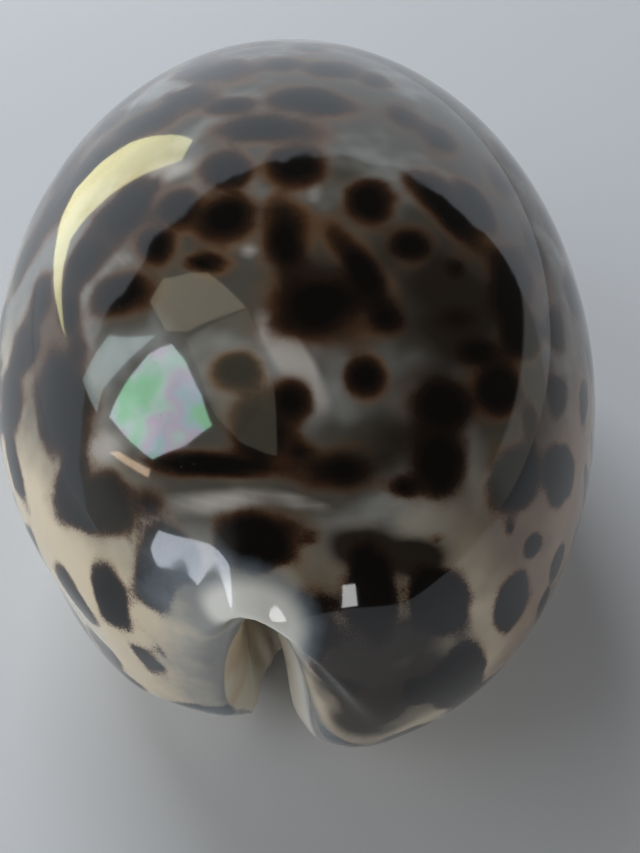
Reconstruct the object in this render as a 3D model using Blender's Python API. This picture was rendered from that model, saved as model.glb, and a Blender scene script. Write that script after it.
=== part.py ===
"""A tiger cowrie shell: one hollow piece, lying on its base.

The shell is a loft. A net of control points is laid out in rings, from the top of the dome over the margin
and the base to the aperture, through the slit, and back up inside as the lining of the cavity. A smooth
surface is drawn through the net, and the teeth are raised along both lips.
+X is the side of the outer lip, +Y points to the front end and -Y to the rear end, with the deep notch.
"""
import math

import bmesh
import bpy
import numpy as np

MM = 0.001
UP = np.array([0.0, 0.0, 1.0])
TINY = 1e-12  # keeps a division from meeting zero

# Driving dimensions
LENGTH = 86.0 * MM
WIDTH = 60.0 * MM
HEIGHT = 46.0 * MM

# Body of the shell
MARGIN_HEIGHT = 0.40 * HEIGHT  # height of the widest line
CREST_SIDE_SHIFT = 3.4 * MM  # the dome's top lies a little towards the outer lip
CREST_REAR_SHIFT = 1.4 * MM
REAR_BREADTH = 0.025  # how much broader the rear half is than the front half
NOTCH_SKEW = math.radians(14.0)  # the rear notch is turned this far towards the inner lip

# Under side: its rings as shares of the plan outline, with their heights
LOWER_SIDE = ((0.985, 10.5 * MM), (0.93, 4.6 * MM), (0.84, 1.0 * MM))
BASE_REACH = np.array([0.73, 0.80, 0.0])  # where the flat base starts
BASE_PARTS = (0.0, 0.30, 0.58, 0.80)  # places of the flat rings, from the base's start to the lip

# Wall
DOME_WALL = 2.2 * MM
MARGIN_WALL = 4.4 * MM
MARGIN_SHARES = (1.25, 1.0, 0.9, 0.72)  # the lining's first rings, as shares of the margin's wall
BASE_WALL = 6.4 * MM
FLOOR_REACH = np.array([0.55, 0.66, 0.0])  # how far out the cavity's floor reaches
FLOOR_EDGE_RISE = 1.4 * MM

# Aperture
OUTER_LIP_REAR = -33.2 * MM
INNER_LIP_REAR = -30.4 * MM
SLIT_FRONT = 35.5 * MM
SLIT_MIDDLE_X = 3.2 * MM
SLIT_REAR_BEND = 12.4 * MM  # how far the slit has bent towards -X at its rear end
SLIT_FRONT_BEND = 3.0 * MM
SLIT_HALF_WIDTH = 2.1 * MM
SLIT_END_WIDENING = 0.35
LIP_HEIGHT = 3.0 * MM
LIP_ROUNDING = 1.1 * MM  # how far the lip's lowest line lies from its edge
LIP_ROLL = 0.62  # the share of the lip's height that it falls over that distance
THROAT_RISE = 0.6 * MM  # the slit's walls end this far above the base's wall
THROAT_FLARE = 2.0 * MM
CANAL_START = 0.62  # the share of a lip's half length where the walls start to rise towards a canal
REAR_CANAL_ROOF = 13.5 * MM  # height of the canal's wall where the slit meets the notch
FRONT_CANAL_ROOF = 9.2 * MM
CANAL_RISE = 1.5 * MM
LOBE_SWELL = 1.6 * MM

# Callus along the margin, beside the rear notch on the inner lip's side
CALLUS_ANGLE = math.radians(216.0)
CALLUS_SPREAD = math.radians(24.0)
CALLUS_PUSH = {6: 0.45 * MM, 7: -0.55 * MM, 8: 1.3 * MM, 9: 1.0 * MM}

# Teeth
TEETH_A_SIDE = 24
OUTER_TOOTH = 0.55 * MM
INNER_TOOTH = 0.45 * MM
TOOTH_FIRST_RING = 14.2
TOOTH_LAST_RING = 18.0
TOOTH_FADE = 0.05  # the share of a lip at each end over which the teeth die away

# Net of control points
SIDE_COLUMNS = 14
DOME_ANGLES = (0, 14, 28, 42, 55, 68, 80, 92)
SIDE_END = math.radians(74.0)  # plan angle at which a side hands over to a notch
INNER_REAR_END = math.radians(63.0)  # the same for the inner lip's rear end, which stops short
LIP_RING = 16
ARCH_LINING = 4  # rings of the lining that rise straight from a canal's roof, clear of the arch
END_CROWDING = 0.36  # how much closer the columns stand near the ends of a side

# The rim of the rear notch, from the inner lip's foot over the arch to the outer lip's foot
REAR_EDGE = np.array([
    (-10.6, -33.9, 2.4), (-10.4, -32.3, 7.4), (-10.0, -32.0, 15.0), (-7.9, -33.0, 23.0),
    (-6.8, -33.4, 18.4), (-6.9, -33.7, 9.2), (-7.8, -35.6, 2.4),
]) * MM
REAR_RIM = np.array([
    (-11.4, -35.1, 1.8), (-11.3, -33.7, 7.8), (-10.6, -33.8, 17.0), (-7.7, -35.3, 26.4),
    (-5.4, -36.0, 20.6), (-5.5, -37.0, 9.8), (-6.6, -38.4, 1.2),
]) * MM
REAR_SHOULDER = np.array([
    (-13.0, -35.8, 13.0), (-11.8, -35.5, 17.8), (-10.4, -35.9, 23.6), (-7.5, -36.8, 30.0),
    (-5.0, -38.4, 26.2), (-2.6, -41.0, 20.0), (-0.6, -43.0, 15.0),
]) * MM
REAR_ROOF = np.array([
    (-9.5, -30.4, 14.2), (-9.2, -29.9, 16.0), (-8.6, -29.4, 18.2), (-7.6, -29.2, 19.8),
    (-6.7, -30.0, 18.6), (-6.2, -31.4, 15.8), (-6.1, -32.6, 14.4),
]) * MM
REAR_INWARDS = np.array([0.60, 0.80, 0.0])  # the way the rear canal runs into the shell

# The rim of the front notch, from the outer lip's foot to the inner lip's foot
FRONT_EDGE = np.array([
    (2.9, 36.4, 2.6), (2.6, 36.5, 6.8), (0.0, 36.6, 10.8), (-2.7, 36.5, 6.8), (-3.1, 36.4, 2.6),
]) * MM
FRONT_RIM = np.array([
    (4.4, 37.7, 1.3), (4.4, 38.8, 7.6), (0.0, 39.2, 13.4), (-4.5, 38.8, 7.6), (-4.6, 37.7, 1.3),
]) * MM
FRONT_SHOULDER = np.array([
    (6.0, 42.0, 15.8), (3.2, 42.6, 17.4), (0.0, 42.8, 18.6), (-3.2, 42.6, 17.4), (-6.0, 42.0, 15.8),
]) * MM
FRONT_ROOF = np.array([
    (2.9, 34.6, 9.4), (2.2, 33.8, 10.4), (0.0, 33.4, 11.2), (-2.1, 33.8, 10.4), (-2.7, 34.6, 9.4),
]) * MM
FRONT_INWARDS = np.array([0.0, -1.0, 0.0])

# How a notch's rings run from the dome to the rim
ARCH_PARTS = (0.22, 0.42, 0.60, 0.74, 0.86, 0.95, 1.0)
BROW_PULL = {5: (0.5, 0.0), 6: (0.65, 0.65)}  # pull of a ring to the shoulder, at the arch and at its feet
BROW_LIFT = {5: 1.5 * MM, 6: 3.0 * MM}
RIM_ROLL = 0.6  # place of the ring that rounds the rim, from the edge to the rim
ROOF_RUN = 3.0 * MM
ROOF_RISE = 1.3 * MM

# Columns of the solid for each tooth, and over each notch
COLUMNS_A_TOOTH = 4
FRONT_NOTCH_TEETH = 3
REAR_NOTCH_TEETH = 7


def smooth_step(value):
    value = np.clip(value, 0.0, 1.0)
    return value * value * (3.0 - 2.0 * value)


def slit_middle(y):
    """X of the slit's middle line."""
    rear = SLIT_REAR_BEND * (np.maximum(-y, 0.0) / -OUTER_LIP_REAR) ** 2.8
    front = SLIT_FRONT_BEND * (np.maximum(y, 0.0) / SLIT_FRONT) ** 2
    return SLIT_MIDDLE_X - rear - front


def body_point(plan_angle, dome_angle):
    """A point of the dome, with dome_angle 0 at the top and 90 degrees at the widest line."""
    half_width, half_length = WIDTH / 2, LENGTH / 2
    share = np.sin(dome_angle)
    side_taper = 1.0 - REAR_BREADTH * np.sin(plan_angle) * share ** 2
    centre_weight = 1.0 - np.abs(share) ** 3
    x = half_width * np.cos(plan_angle) * side_taper * share + CREST_SIDE_SHIFT * centre_weight
    y = half_length * np.sin(plan_angle) * share - CREST_REAR_SHIFT * centre_weight
    z = MARGIN_HEIGHT + (HEIGHT - MARGIN_HEIGHT) * np.cos(dome_angle)
    return np.array([x, y, z])


def plan_edge(plan_angle):
    """The point of the widest line, seen from above, at height 0."""
    return body_point(plan_angle, math.radians(90)) * (1, 1, 0)


def turned(angle):
    """The plan angle with the rear end turned towards the inner lip."""
    return angle - NOTCH_SKEW * ((1.0 - np.sin(angle)) / 2) ** 2


def rear_end(side):
    """Plan angle of a side's rear end, counted from straight out sideways."""
    return SIDE_END if side > 0 else INNER_REAR_END


def side_angles(side):
    """Plan angles of a side's columns, from its rear end to its front end."""
    spread = np.linspace(-1, 1, SIDE_COLUMNS)
    spread = spread * (1 + END_CROWDING - END_CROWDING * spread ** 2)
    return np.where(spread < 0, rear_end(side), SIDE_END) * spread


def outer_rings(angle, side):
    """Rings 0 to 10 of a side's column: down the dome, over the margin and under it."""
    column = [body_point(angle, math.radians(a)) for a in DOME_ANGLES]
    edge = plan_edge(angle)
    column += [edge * reach + UP * height for reach, height in LOWER_SIDE]
    if side < 0:
        share = math.exp(-((angle - CALLUS_ANGLE) / CALLUS_SPREAD) ** 2)
        for ring, push in CALLUS_PUSH.items():
            column[ring] = column[ring] + edge / np.linalg.norm(edge) * push * share
    return column


def lip_rings(edge, lip, out, canal, roof):
    """Rings 11 to 19: over the flat base to the lip, up the slit's wall and onto the cavity's floor.
    Canal is 0 along the slit and rises to 1 where a lip meets a notch."""
    foot = edge * BASE_REACH
    flat_lip = lip * (1, 1, 0)
    column = [foot + (flat_lip - foot) * part for part in BASE_PARTS]
    column.append(lip + out * LIP_ROUNDING - UP * LIP_HEIGHT * LIP_ROLL)
    column.append(lip)
    throat = BASE_WALL + THROAT_RISE
    rise = throat + (roof - throat) * canal - LIP_HEIGHT
    column.append(lip + out * 0.15 * THROAT_FLARE + UP * 0.5 * rise)
    column.append(lip + out * (1.0 - 0.7 * canal) * THROAT_FLARE + UP * rise)
    floor = (edge * FLOOR_REACH + flat_lip) / 2 + UP * BASE_WALL
    wall = flat_lip + out * 1.1 * THROAT_FLARE + UP * (roof + CANAL_RISE)
    column.append(floor + (wall - floor) * canal)
    return column


def side_column(angle, side):
    """Rings 0 to 19 of one column on a side, at its plan angle from straight out sideways."""
    along = math.sin(angle) / math.sin(rear_end(side) if angle < 0 else SIDE_END)
    plan_angle = turned(angle if side > 0 else math.pi - angle)
    lip_rear = OUTER_LIP_REAR if side > 0 else INNER_LIP_REAR
    lip_y = lip_rear + (SLIT_FRONT - lip_rear) * (along + 1) / 2
    half_width = SLIT_HALF_WIDTH * (1.0 + SLIT_END_WIDENING * along ** 6)
    lip = np.array([slit_middle(lip_y) + side * half_width, lip_y, LIP_HEIGHT])
    canal = smooth_step((abs(along) - CANAL_START) / (1.0 - CANAL_START))
    roof = REAR_CANAL_ROOF if along < 0 else FRONT_CANAL_ROOF
    out = np.array([side, 0.0, 0.0])
    return outer_rings(plan_angle, side) + lip_rings(plan_edge(plan_angle), lip, out, canal, roof)


def notch_column(angle, shoulder, rim, edge, roof, inwards, top):
    """Rings 0 to 19 of one column that runs over the arch of a notch."""
    foot = 1.0 - np.clip((edge[2] - LIP_HEIGHT) / (top - LIP_HEIGHT), 0.0, 1.0)
    column = [body_point(angle, math.radians(a)) for a in DOME_ANGLES[:-1]]
    for ring, (at_arch, at_foot) in BROW_PULL.items():
        pull = at_arch + (at_foot - at_arch) * foot
        column[ring] = column[ring] + (shoulder + UP * BROW_LIFT[ring] - column[ring]) * pull
    column.append(shoulder)
    down_and_out = -(inwards * 0.8 + UP * 0.6)
    for part in ARCH_PARTS:
        swell = 4.0 * part * (1.0 - part) * foot * LOBE_SWELL
        column.append(shoulder + (rim - shoulder) * part + down_and_out * swell)
    column.append(edge + (rim - edge) * RIM_ROLL)
    column.append(edge)
    column.append((edge + roof) / 2)
    column.append(roof)
    column.append(roof + inwards * ROOF_RUN + UP * ROOF_RISE)
    return column


def notch_angles(points, start, end):
    """The plan angles of a notch's columns, spread between the two sides."""
    return np.linspace(start, end, len(points) + 2)[1:-1]


def outer_net():
    """Rings 0 to 19 as an array [ring, column, xyz]. Columns run from the outer lip's rear end
    forwards, over the front notch, back along the inner lip, and over the rear notch."""
    columns = [side_column(angle, 1) for angle in side_angles(1)]
    angles = notch_angles(FRONT_EDGE, SIDE_END, math.pi - SIDE_END)
    for angle, *points in zip(angles, FRONT_SHOULDER, FRONT_RIM, FRONT_EDGE, FRONT_ROOF):
        columns.append(notch_column(turned(angle), *points, FRONT_INWARDS, FRONT_EDGE[:, 2].max()))
    columns += [side_column(angle, -1) for angle in side_angles(-1)[::-1]]
    angles = notch_angles(REAR_EDGE, math.pi + INNER_REAR_END, 2 * math.pi - SIDE_END)
    for angle, *points in zip(angles, REAR_SHOULDER, REAR_RIM, REAR_EDGE, REAR_ROOF):
        columns.append(notch_column(turned(angle), *points, REAR_INWARDS, REAR_EDGE[:, 2].max()))
    return np.array(columns).transpose(1, 0, 2)


def outward_normals(points):
    """Unit normals of rings of points, pointing out of the shell."""
    around = np.roll(points, -1, axis=1) - np.roll(points, 1, axis=1)
    along = np.gradient(points, axis=0)
    normals = np.cross(along, around)
    return normals / np.maximum(np.linalg.norm(normals, axis=2, keepdims=True), TINY)


def whole_net():
    """The outer rings, then the lining of the cavity, which follows the outer rings at the wall's depth."""
    net = outer_net()
    normals = outward_normals(net)
    normals[0] = UP
    lining = (9, 7, 6, 5, 4, 3, 2, 1, 0)
    walls = [share * MARGIN_WALL for share in MARGIN_SHARES] + [DOME_WALL] * 5
    inside = np.array([net[ring] - normals[ring] * wall for ring, wall in zip(lining, walls)])
    inside[0, :, 2] = np.maximum(inside[0, :, 2], BASE_WALL + FLOOR_EDGE_RISE)
    arches = notch_columns()
    for ring in range(ARCH_LINING):
        part = (ring + 1) / (ARCH_LINING + 1)
        inside[ring, arches] = net[19, arches] * (1 - part) + inside[ARCH_LINING, arches] * part
    return np.concatenate([net, inside])


def notch_columns():
    """The columns of the net that run over a notch."""
    front = SIDE_COLUMNS + np.arange(len(FRONT_EDGE))
    rear = 2 * SIDE_COLUMNS + len(FRONT_EDGE) + np.arange(len(REAR_EDGE))
    return np.concatenate([front, rear])


def spline_weights(places):
    """Index of the first of four control values and their weights, for a uniform cubic spline."""
    first = np.floor(places).astype(int)
    t = (places - first)[:, None]
    middle = [3 * t ** 3 - 6 * t ** 2 + 4, -3 * t ** 3 + 3 * t ** 2 + 3 * t + 1]
    weights = np.hstack([(1 - t) ** 3, *middle, t ** 3]) / 6
    return first - 1, weights


def beyond_pole(pole, ring):
    """The ring next to a pole, carried across it to the far side."""
    return np.stack([2 * pole[:, 0] - ring[:, 0], 2 * pole[:, 1] - ring[:, 1], ring[:, 2]], axis=1)[None]


def surface(net, rings, columns):
    """Points of the smooth surface at every pair of ring place and column place."""
    padded = np.concatenate([beyond_pole(net[0], net[1]), net, beyond_pole(net[-1], net[-2])])
    first, weights = spline_weights(rings)
    last = len(padded) - 1
    rows = sum(weights[:, k, None, None] * padded[np.clip(first + k + 1, 0, last)] for k in range(4))
    first, weights = spline_weights(columns)
    count = net.shape[1]
    return sum(weights[None, :, k, None] * rows[:, (first + k) % count] for k in range(4))


def column_places(net, step):
    """Column places, evenly spaced along each lip and over each notch."""
    side = SIDE_COLUMNS - 1
    back = side + len(FRONT_EDGE) + 1
    whole = net.shape[1]
    tooth = TEETH_A_SIDE * step
    stretches = (
        (0, side, tooth),
        (side, back, FRONT_NOTCH_TEETH * step),
        (back, back + side, tooth),
        (back + side, whole, REAR_NOTCH_TEETH * step),
    )
    spans = []
    for start, end, count in stretches:
        dense = np.linspace(start, end, 400)
        lip = surface(net, np.array([float(LIP_RING)]), dense)[0]
        length = np.concatenate([[0.0], np.cumsum(np.linalg.norm(np.diff(lip, axis=0), axis=1))])
        spans.append(np.interp(np.linspace(0, length[-1], count, endpoint=False), length, dense))
    return np.concatenate(spans)


def fitted(points, outside_rings):
    """The points stretched to the shell's exact length, width and height, standing on the ground."""
    low = points[:outside_rings].min(axis=(0, 1))
    high = points[:outside_rings].max(axis=(0, 1))
    centre = (low + high) / 2 * (1, 1, 0)
    return (points - centre) * (WIDTH, LENGTH, HEIGHT) / (high - low)


def tooth_heights(rings, step):
    """How far the teeth stand up at every pair of ring place and column."""
    tooth = TEETH_A_SIDE * step
    along = np.arange(tooth) / tooth
    fade = smooth_step(np.minimum(along, 1 - along) / TOOTH_FADE)
    ridge = (0.5 - 0.5 * np.cos(2 * np.pi * TEETH_A_SIDE * along)) * fade
    front, rear = np.zeros(FRONT_NOTCH_TEETH * step), np.zeros(REAR_NOTCH_TEETH * step)
    heights = np.concatenate([ridge * OUTER_TOOTH, front, ridge * INNER_TOOTH, rear])
    reach = smooth_step(rings - TOOTH_FIRST_RING) * smooth_step((TOOTH_LAST_RING - rings) / 1.2)
    return reach[:, None] * heights[None, :]


def shell_rows(rings, step):
    """Every ring of the shell at full column count, with its teeth."""
    net = whole_net()
    points = surface(net, rings, column_places(net, step))
    points += outward_normals(points) * tooth_heights(rings, step)[:, :, None]
    return fitted(points, int(np.searchsorted(rings, LIP_RING)))


# Ring places of the solid, and how many of the columns each one keeps: every 4th, every 2nd or all
ROWS = (
    [(place, 4) for place in np.arange(0.5, 7.0, 0.5)]
    + [(place, 2) for place in (7.0, 7.6, 8.2, 8.8, 9.4, 10.0, 10.6, 11.2, 12.0, 13.0)]
    + [(place, 1) for place in (13.8, 14.4, 14.9, 15.3, 15.7, 16.1, 16.5, 17.0, 17.6)]
    + [(place, 2) for place in (18.2, 18.8)]
    + [(place, 4) for place in (19.4, 20.0, 20.6, 21.2, 22.0, 23.0, 24.0, 25.0, 26.0, 27.0, 27.5)]
)


def joined(mesh, upper, lower):
    """Faces between two rings of vertices, one of which may have twice as many as the other."""
    big, small = max(len(upper), len(lower)), min(len(upper), len(lower))
    for j in range(small):
        following = (j + 1) % small
        if big == small:
            mesh.faces.new((upper[j], lower[j], lower[following], upper[following]))
        elif len(lower) == big:
            middle, after = lower[2 * j + 1], lower[(2 * j + 2) % big]
            mesh.faces.new((upper[j], lower[2 * j], middle))
            mesh.faces.new((upper[j], middle, upper[following]))
            mesh.faces.new((upper[following], middle, after))
        else:
            middle, after = upper[2 * j + 1], upper[(2 * j + 2) % big]
            mesh.faces.new((lower[j], middle, upper[2 * j]))
            mesh.faces.new((lower[j], lower[following], middle))
            mesh.faces.new((lower[following], after, middle))


def shell_mesh():
    places = np.array([0.0] + [place for place, _ in ROWS] + [28.0])
    points = shell_rows(places, COLUMNS_A_TOOTH)
    mesh = bmesh.new()
    top = mesh.verts.new(points[0, 0])
    rings = [[mesh.verts.new(p) for p in row[::keep]] for row, (_, keep) in zip(points[1:-1], ROWS)]
    ceiling = mesh.verts.new(points[-1, 0])
    for j in range(len(rings[0])):
        mesh.faces.new((top, rings[0][j], rings[0][(j + 1) % len(rings[0])]))
    for upper, lower in zip(rings, rings[1:]):
        joined(mesh, upper, lower)
    last = rings[-1]
    for j in range(len(last)):
        mesh.faces.new((last[j], ceiling, last[(j + 1) % len(last)]))
    data = bpy.data.meshes.new("shell")
    mesh.to_mesh(data)
    mesh.free()
    return data


def enamel():
    """Cream glaze, very smooth."""
    material = bpy.data.materials.new("Shell enamel")
    material.use_nodes = True
    shader = material.node_tree.nodes["Principled BSDF"]
    shader.inputs["Base Color"].default_value = (0.62, 0.55, 0.44, 1)
    shader.inputs["Metallic"].default_value = 0.0
    shader.inputs["Roughness"].default_value = 0.12
    return material


def build():
    for item in list(bpy.data.objects):
        bpy.data.objects.remove(item, do_unlink=True)
    collection = bpy.data.collections.new("Cowrie shell")
    bpy.context.scene.collection.children.link(collection)
    shell = bpy.data.objects.new("shell", shell_mesh())
    collection.objects.link(shell)
    shell.data.materials.append(enamel())
    shell.data.shade_smooth()
    return shell


build()
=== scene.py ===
# %% [markdown]
# A tiger cowrie shell, lesson in cells
#
# A cowrie is one glossy piece of shell. The animal folds its mantle up over the outside and lays down
# enamel, layer on layer, so the back is as smooth as glass and the dark spots lie at several depths
# in it. This lesson draws the shell as one surface from a net of control points, works out on that
# surface where every spot and every zone of colour lies, and lets one material read those values.
#
# The solid that came before stays the measure of everything: the surface here is the same one, only
# finer, and it is stretched to the same length, width and height.

# %% Load the frame
import math
import random

import bmesh
import bpy
import numpy as np
from mathutils import Matrix, Vector, noise
from mathutils.bvhtree import BVHTree


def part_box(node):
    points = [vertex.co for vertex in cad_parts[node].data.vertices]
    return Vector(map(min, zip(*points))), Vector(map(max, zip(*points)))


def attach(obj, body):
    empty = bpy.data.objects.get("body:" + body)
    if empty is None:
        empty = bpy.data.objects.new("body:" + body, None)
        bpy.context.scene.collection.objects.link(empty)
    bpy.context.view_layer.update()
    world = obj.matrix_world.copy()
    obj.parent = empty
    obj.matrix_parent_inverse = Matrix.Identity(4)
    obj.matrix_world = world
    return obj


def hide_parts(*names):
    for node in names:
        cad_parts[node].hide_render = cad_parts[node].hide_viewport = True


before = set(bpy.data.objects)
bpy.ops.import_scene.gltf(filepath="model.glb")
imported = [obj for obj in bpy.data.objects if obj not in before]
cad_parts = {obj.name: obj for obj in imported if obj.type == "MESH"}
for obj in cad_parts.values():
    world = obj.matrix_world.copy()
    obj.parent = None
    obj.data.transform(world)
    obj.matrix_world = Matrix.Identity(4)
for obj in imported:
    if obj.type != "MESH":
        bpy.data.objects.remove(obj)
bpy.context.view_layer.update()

MM = 0.001
UP = np.array([0.0, 0.0, 1.0])
LOW, HIGH = (np.array(corner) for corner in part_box("shell"))
WIDTH, LENGTH, HEIGHT = HIGH - LOW
print("shell in mm:", np.round((HIGH - LOW) / MM, 2))

# %% [markdown]
# The camera
#
# The photograph was taken by hand from very near, about eight centimetres from the middle of the shell,
# which is why the rear end looks so large and the front end is out of sight. The place and tilt were
# found by matching the outline of the body to the one in the photograph. A camera object can be aimed
# with a constraint, but here its matrix is written out from three angles and a distance, because the
# same numbers are wanted again later to find the point of the shell that lies behind a pixel.

# %% Aim the camera
PHOTO_WIDTH, PHOTO_HEIGHT = 640, 853
CAMERA_AZIMUTH = math.radians(-6.5)
CAMERA_ELEVATION = math.radians(48.85)
CAMERA_ROLL = math.radians(-8.06)
CAMERA_DISTANCE = 80.0 * MM
CAMERA_TARGET = Vector((1.95, -9.36, 13.17)) * MM
FOCAL_PIXELS = 730
SENSOR = 36.0


def camera_axes():
    """Right, up and backwards of the camera."""
    level = math.cos(CAMERA_ELEVATION)
    back = Vector((
        math.sin(CAMERA_AZIMUTH) * level,
        -math.cos(CAMERA_AZIMUTH) * level,
        math.sin(CAMERA_ELEVATION),
    ))
    level_right = Vector((math.cos(CAMERA_AZIMUTH), math.sin(CAMERA_AZIMUTH), 0))
    level_up = back.cross(level_right)
    right = level_right * math.cos(CAMERA_ROLL) + level_up * math.sin(CAMERA_ROLL)
    return right, back.cross(right), back


RIGHT, ABOVE, BACK = camera_axes()
EYE = CAMERA_TARGET + BACK * CAMERA_DISTANCE


def make_camera():
    data = bpy.data.cameras.new("Camera")
    data.sensor_fit = "HORIZONTAL"
    data.sensor_width = SENSOR
    data.lens = FOCAL_PIXELS / PHOTO_WIDTH * SENSOR
    data.clip_start = 1 * MM
    camera = bpy.data.objects.new("Camera", data)
    bpy.context.scene.collection.objects.link(camera)
    camera.matrix_world = Matrix((
        (RIGHT.x, ABOVE.x, BACK.x, EYE.x),
        (RIGHT.y, ABOVE.y, BACK.y, EYE.y),
        (RIGHT.z, ABOVE.z, BACK.z, EYE.z),
        (0, 0, 0, 1),
    ))
    bpy.context.scene.camera = camera


def ray_through(pixel):
    """Direction from the eye through a pixel of the photograph."""
    x = (pixel[0] - PHOTO_WIDTH / 2) / FOCAL_PIXELS
    y = (PHOTO_HEIGHT / 2 - pixel[1]) / FOCAL_PIXELS
    return (RIGHT * x + ABOVE * y - BACK).normalized()


make_camera()
print("camera at, in mm:", [round(v / MM, 1) for v in EYE])

# %% [markdown]
# The body
#
# Seen from above the shell is a plump egg, and from the side it is a dome on a flat base. One formula
# gives a point of it for an angle around (the plan angle) and an angle down from the top (the dome angle).
# The top is shifted towards the outer lip, and the rear end is turned towards the inner lip, because a
# cowrie is a coiled snail under its enamel and has no exact symmetry.

# %% Body formula
MARGIN_HEIGHT = 0.40 * HEIGHT
CREST_SIDE_SHIFT = 3.4 * MM
CREST_REAR_SHIFT = 1.4 * MM
REAR_BREADTH = 0.025
NOTCH_SKEW = math.radians(14.0)


def smooth_step(value):
    value = np.clip(value, 0.0, 1.0)
    return value * value * (3.0 - 2.0 * value)


def body_point(plan_angle, dome_angle):
    share = np.sin(dome_angle)
    side_taper = 1.0 - REAR_BREADTH * np.sin(plan_angle) * share ** 2
    centre_weight = 1.0 - np.abs(share) ** 3
    x = WIDTH / 2 * np.cos(plan_angle) * side_taper * share + CREST_SIDE_SHIFT * centre_weight
    y = LENGTH / 2 * np.sin(plan_angle) * share - CREST_REAR_SHIFT * centre_weight
    z = MARGIN_HEIGHT + (HEIGHT - MARGIN_HEIGHT) * np.cos(dome_angle)
    return np.array([x, y, z])


def plan_edge(plan_angle):
    return body_point(plan_angle, math.radians(90)) * (1, 1, 0)


def turned(angle):
    return angle - NOTCH_SKEW * ((1.0 - np.sin(angle)) / 2) ** 2


print("widest line at, in mm:", round(MARGIN_HEIGHT / MM, 1))

# %% [markdown]
# The sides of the net
#
# The surface could be sculpted or subdivided from a cage, but a cowrie has a slit that runs from end to
# end and rolls inwards, which no box turns into gracefully. So the net is laid in rings around that slit:
# down the dome, over the margin, across the flat base, over the lip, up the slit's wall, and back up inside
# as the lining. Each column of the net is one such walk. Its outer part comes first. On the inner lip's
# side the margin swells a little at the rear, where the enamel is laid on thick.

# %% Rings of the outside
DOME_ANGLES = (0, 14, 28, 42, 55, 68, 80, 92)
LOWER_SIDE = ((0.985, 10.5 * MM), (0.93, 4.6 * MM), (0.84, 1.0 * MM))  # reach and height under the margin
CALLUS_ANGLE = math.radians(216.0)
CALLUS_SPREAD = math.radians(24.0)
CALLUS_PUSH = {6: 0.45 * MM, 7: -0.55 * MM, 8: 1.3 * MM, 9: 1.0 * MM}  # outwards, for each of these rings


def outer_rings(angle, side):
    """Down the dome, over the margin and under it."""
    column = [body_point(angle, math.radians(a)) for a in DOME_ANGLES]
    edge = plan_edge(angle)
    column += [edge * reach + UP * height for reach, height in LOWER_SIDE]
    if side < 0:
        share = math.exp(-((angle - CALLUS_ANGLE) / CALLUS_SPREAD) ** 2)
        for ring, push in CALLUS_PUSH.items():
            column[ring] = column[ring] + edge / np.linalg.norm(edge) * push * share
    return column


print("rings down the outside:", len(DOME_ANGLES) + len(LOWER_SIDE))

# %% [markdown]
# The base and the slit
#
# From the margin each walk goes on over the flat base to the lip, and there it turns up into the slit. In
# the middle of the shell it ends on the floor of the hollow. Near the two ends it goes up the wall of the
# canal that climbs to the notch. One share, called canal, blends from the first to the second.

# %% Rings of the base and the slit
BASE_REACH = np.array([0.73, 0.80, 0.0])
BASE_PARTS = (0.0, 0.30, 0.58, 0.80)
BASE_WALL = 6.4 * MM
LIP_HEIGHT = 3.0 * MM
LIP_ROUNDING = 1.1 * MM
LIP_ROLL = 0.62
THROAT_RISE = 0.6 * MM
THROAT_FLARE = 2.0 * MM
FIRST_FLARE = 0.15  # the share of the flare that is reached half way up the throat
CANAL_NARROWING = 0.7  # the share of the flare that a canal does without
CANAL_WALL_FLARE = 1.1
CANAL_RISE = 1.5 * MM
FLOOR_REACH = np.array([0.55, 0.66, 0.0])


def lip_rings(edge, lip, out, canal, roof):
    """Over the base to the lip, up the slit's wall and onto the floor of the hollow."""
    foot = edge * BASE_REACH
    flat_lip = lip * (1, 1, 0)
    column = [foot + (flat_lip - foot) * part for part in BASE_PARTS]
    column.append(lip + out * LIP_ROUNDING - UP * LIP_HEIGHT * LIP_ROLL)
    column.append(lip)
    throat = BASE_WALL + THROAT_RISE
    rise = throat + (roof - throat) * canal - LIP_HEIGHT
    column.append(lip + out * FIRST_FLARE * THROAT_FLARE + UP * 0.5 * rise)
    column.append(lip + out * (1.0 - CANAL_NARROWING * canal) * THROAT_FLARE + UP * rise)
    floor = (edge * FLOOR_REACH + flat_lip) / 2 + UP * BASE_WALL
    wall = flat_lip + out * CANAL_WALL_FLARE * THROAT_FLARE + UP * (roof + CANAL_RISE)
    column.append(floor + (wall - floor) * canal)
    return column


print("lip above the ground, in mm:", round(LIP_HEIGHT / MM, 1))

# %% [markdown]
# The two long sides
#
# The columns stand side by side along the slit, and closer together towards its ends, where the shape turns
# fastest. The slit isn't straight: like the coil inside, it bends towards the inner lip at both ends, and
# most at the rear.

# %% Columns of the two sides
SIDE_COLUMNS = 14
SIDE_END = math.radians(74.0)
INNER_REAR_END = math.radians(63.0)
END_CROWDING = 0.36
OUTER_LIP_REAR = -33.2 * MM
INNER_LIP_REAR = -30.4 * MM
SLIT_FRONT = 35.5 * MM
SLIT_MIDDLE_X = 3.2 * MM
SLIT_REAR_BEND = 12.4 * MM
SLIT_FRONT_BEND = 3.0 * MM
SLIT_HALF_WIDTH = 2.1 * MM
SLIT_END_WIDENING = 0.35
CANAL_START = 0.62
REAR_CANAL_ROOF = 13.5 * MM
FRONT_CANAL_ROOF = 9.2 * MM


def slit_middle(y):
    rear = SLIT_REAR_BEND * (np.maximum(-y, 0.0) / -OUTER_LIP_REAR) ** 2.8
    front = SLIT_FRONT_BEND * (np.maximum(y, 0.0) / SLIT_FRONT) ** 2
    return SLIT_MIDDLE_X - rear - front


def rear_end(side):
    return SIDE_END if side > 0 else INNER_REAR_END


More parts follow.
